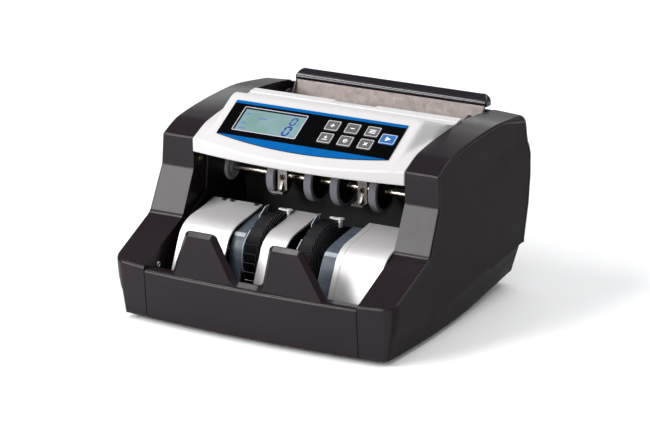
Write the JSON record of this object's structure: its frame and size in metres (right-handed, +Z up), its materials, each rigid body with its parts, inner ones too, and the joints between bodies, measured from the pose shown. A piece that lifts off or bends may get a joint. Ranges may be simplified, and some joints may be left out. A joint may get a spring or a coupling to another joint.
{
  "type": "banknote counting machine",
  "caption": "Desktop banknote counter with a rear hopper, a tilted control panel with display and keys, counting rollers, and a front bay with finned stacking wheels behind two guards.",
  "frame": {"origin": "centre of the footprint, on the surface under the feet", "axes": "+X to the operator's right, +Y from the front bay to the hopper, +Z up"},
  "size_m": [0.2712, 0.256, 0.1716],
  "materials": {
    "satin_black": "satin, fine moulded grain",
    "matt_black": "matt",
    "gloss_black": "gloss",
    "gloss_white": "gloss",
    "display": "clear front, grey-green",
    "board": "solder mask",
    "key_grey": "satin",
    "key_blue": "satin",
    "stacker_silver": "silver paint, satin",
    "smoky_plastic": "smoky, polished",
    "bright_steel": "bright turned",
    "dark_steel": "black coated",
    "grey_rubber": "matt",
    "black_rubber": "matt",
    "nylon": "natural"
  },
  "bodies": {
    "housing": {"left_side_cover": "satin_black", "right_side_cover": "satin_black", "front_panel": "satin_black", "rear_cover": "satin_black", "base_pan": "matt_black", "upper_deck": "matt_black", "bay_rear_wall": "matt_black", "power_inlet": "matt_black", "hopper_back_rest": "gloss_black", "membrane_overlay": "gloss_black", "control_panel_cover": "gloss_white", "lcd_module": "display", "control_board": "board", "main_board": "board", "stacker_plate_left": "stacker_silver", "stacker_plate_middle": "stacker_silver", "stacker_plate_right": "stacker_silver", "wheel_guard_left": "smoky_plastic", "wheel_guard_right": "smoky_plastic", "sensor_bracket_left": "bright_steel", "sensor_bracket_right": "bright_steel", "main_motor": "bright_steel", "stacker_motor": "bright_steel", "left_side_frame": "dark_steel", "right_side_frame": "dark_steel", "hopper_feed_tray": "dark_steel", "transformer": "dark_steel", "rubber_foot_1": "black_rubber", "rubber_foot_2": "black_rubber", "rubber_foot_3": "black_rubber", "rubber_foot_4": "black_rubber", "main_belt": "black_rubber", "feed_belt": "black_rubber", "stacker_belt": "black_rubber"},
    "counting_rotor": {"counting_shaft": "bright_steel", "counting_roller_1": "grey_rubber", "counting_roller_2": "grey_rubber", "counting_roller_3": "grey_rubber", "counting_roller_4": "grey_rubber", "counting_pulley": "nylon"},
    "feed_rotor": {"feed_shaft": "bright_steel", "feed_roller_left": "grey_rubber", "feed_roller_right": "grey_rubber"},
    "stacker_rotor": {"stacker_shaft": "bright_steel", "stacker_wheel_left": "matt_black", "stacker_wheel_right": "matt_black", "stacker_pulley": "nylon"},
    "main_motor_rotor": {"main_motor_pulley": "bright_steel"},
    "stacker_motor_rotor": {"stacker_motor_pulley": "bright_steel"},
    "key_plus": {"key_plus": "key_grey"},
    "key_minus": {"key_minus": "key_grey"},
    "key_batch": {"key_batch": "key_grey"},
    "key_add": {"key_add": "key_grey"},
    "key_light": {"key_light": "key_grey"},
    "key_clear": {"key_clear": "key_grey"},
    "key_start": {"key_start": "key_blue"},
    "power_rocker": {"power_rocker": "gloss_black"},
    "gap_knob": {"gap_adjust_knob": "matt_black"},
    "note_guide_left": {"note_guide_left": "matt_black"},
    "note_guide_right": {"note_guide_right": "matt_black"}
  },
  "joints": [
    {"name": "counting_spin", "type": "hinge", "parent": "housing", "child": "counting_rotor", "pos_m": [0, 0.013, 0.1028], "axis": [1, 0, 0], "continuous": true},
    {"name": "feed_spin", "type": "hinge", "parent": "housing", "child": "feed_rotor", "pos_m": [0, 0.056, 0.109], "axis": [1, 0, 0], "continuous": true},
    {"name": "main_motor_spin", "type": "hinge", "parent": "housing", "child": "main_motor_rotor", "pos_m": [0, 0.084, 0.049], "axis": [1, 0, 0], "continuous": true},
    {"name": "stacker_spin", "type": "hinge", "parent": "housing", "child": "stacker_rotor", "pos_m": [0, -0.048, 0.051], "axis": [1, 0, 0], "continuous": true},
    {"name": "stacker_motor_spin", "type": "hinge", "parent": "housing", "child": "stacker_motor_rotor", "pos_m": [0, 0.024, 0.029], "axis": [1, 0, 0], "continuous": true},
    {"name": "key_plus_press", "type": "slide", "parent": "housing", "child": "key_plus", "axis": [0, 0.5068, -0.8621], "range_m": [0, 0.0006], "stiffness_N_per_m": 600},
    {"name": "key_minus_press", "type": "slide", "parent": "housing", "child": "key_minus", "axis": [0, 0.5068, -0.8621], "range_m": [0, 0.0006], "stiffness_N_per_m": 600},
    {"name": "key_batch_press", "type": "slide", "parent": "housing", "child": "key_batch", "axis": [0, 0.5068, -0.8621], "range_m": [0, 0.0006], "stiffness_N_per_m": 600},
    {"name": "key_add_press", "type": "slide", "parent": "housing", "child": "key_add", "axis": [0, 0.5068, -0.8621], "range_m": [0, 0.0006], "stiffness_N_per_m": 600},
    {"name": "key_light_press", "type": "slide", "parent": "housing", "child": "key_light", "axis": [0, 0.5068, -0.8621], "range_m": [0, 0.0006], "stiffness_N_per_m": 600},
    {"name": "key_clear_press", "type": "slide", "parent": "housing", "child": "key_clear", "axis": [0, 0.5068, -0.8621], "range_m": [0, 0.0006], "stiffness_N_per_m": 600},
    {"name": "key_start_press", "type": "slide", "parent": "housing", "child": "key_start", "axis": [0, 0.5068, -0.8621], "range_m": [0, 0.0006], "stiffness_N_per_m": 600},
    {"name": "power_rocker_tilt", "type": "hinge", "parent": "housing", "child": "power_rocker", "pos_m": [0.034, 0.1154, 0.031], "axis": [1, 0, 0], "range_deg": [0, 16]},
    {"name": "gap_knob_turn", "type": "hinge", "parent": "housing", "child": "gap_knob", "pos_m": [0, 0.045, 0.145], "axis": [0, 0, 1], "range_deg": [-180, 180]},
    {"name": "note_guide_left_slide", "type": "slide", "parent": "housing", "child": "note_guide_left", "axis": [1, 0, 0], "range_m": [0, 0.03]},
    {"name": "note_guide_right_slide", "type": "slide", "parent": "housing", "child": "note_guide_right", "axis": [-1, 0, 0], "range_m": [0, 0.03]}
  ],
  "couplings": [
    {"joint": "feed_spin", "follows": "counting_spin", "ratio": 1},
    {"joint": "main_motor_spin", "follows": "counting_spin", "ratio": 2},
    {"joint": "stacker_motor_spin", "follows": "stacker_spin", "ratio": 2}
  ]
}
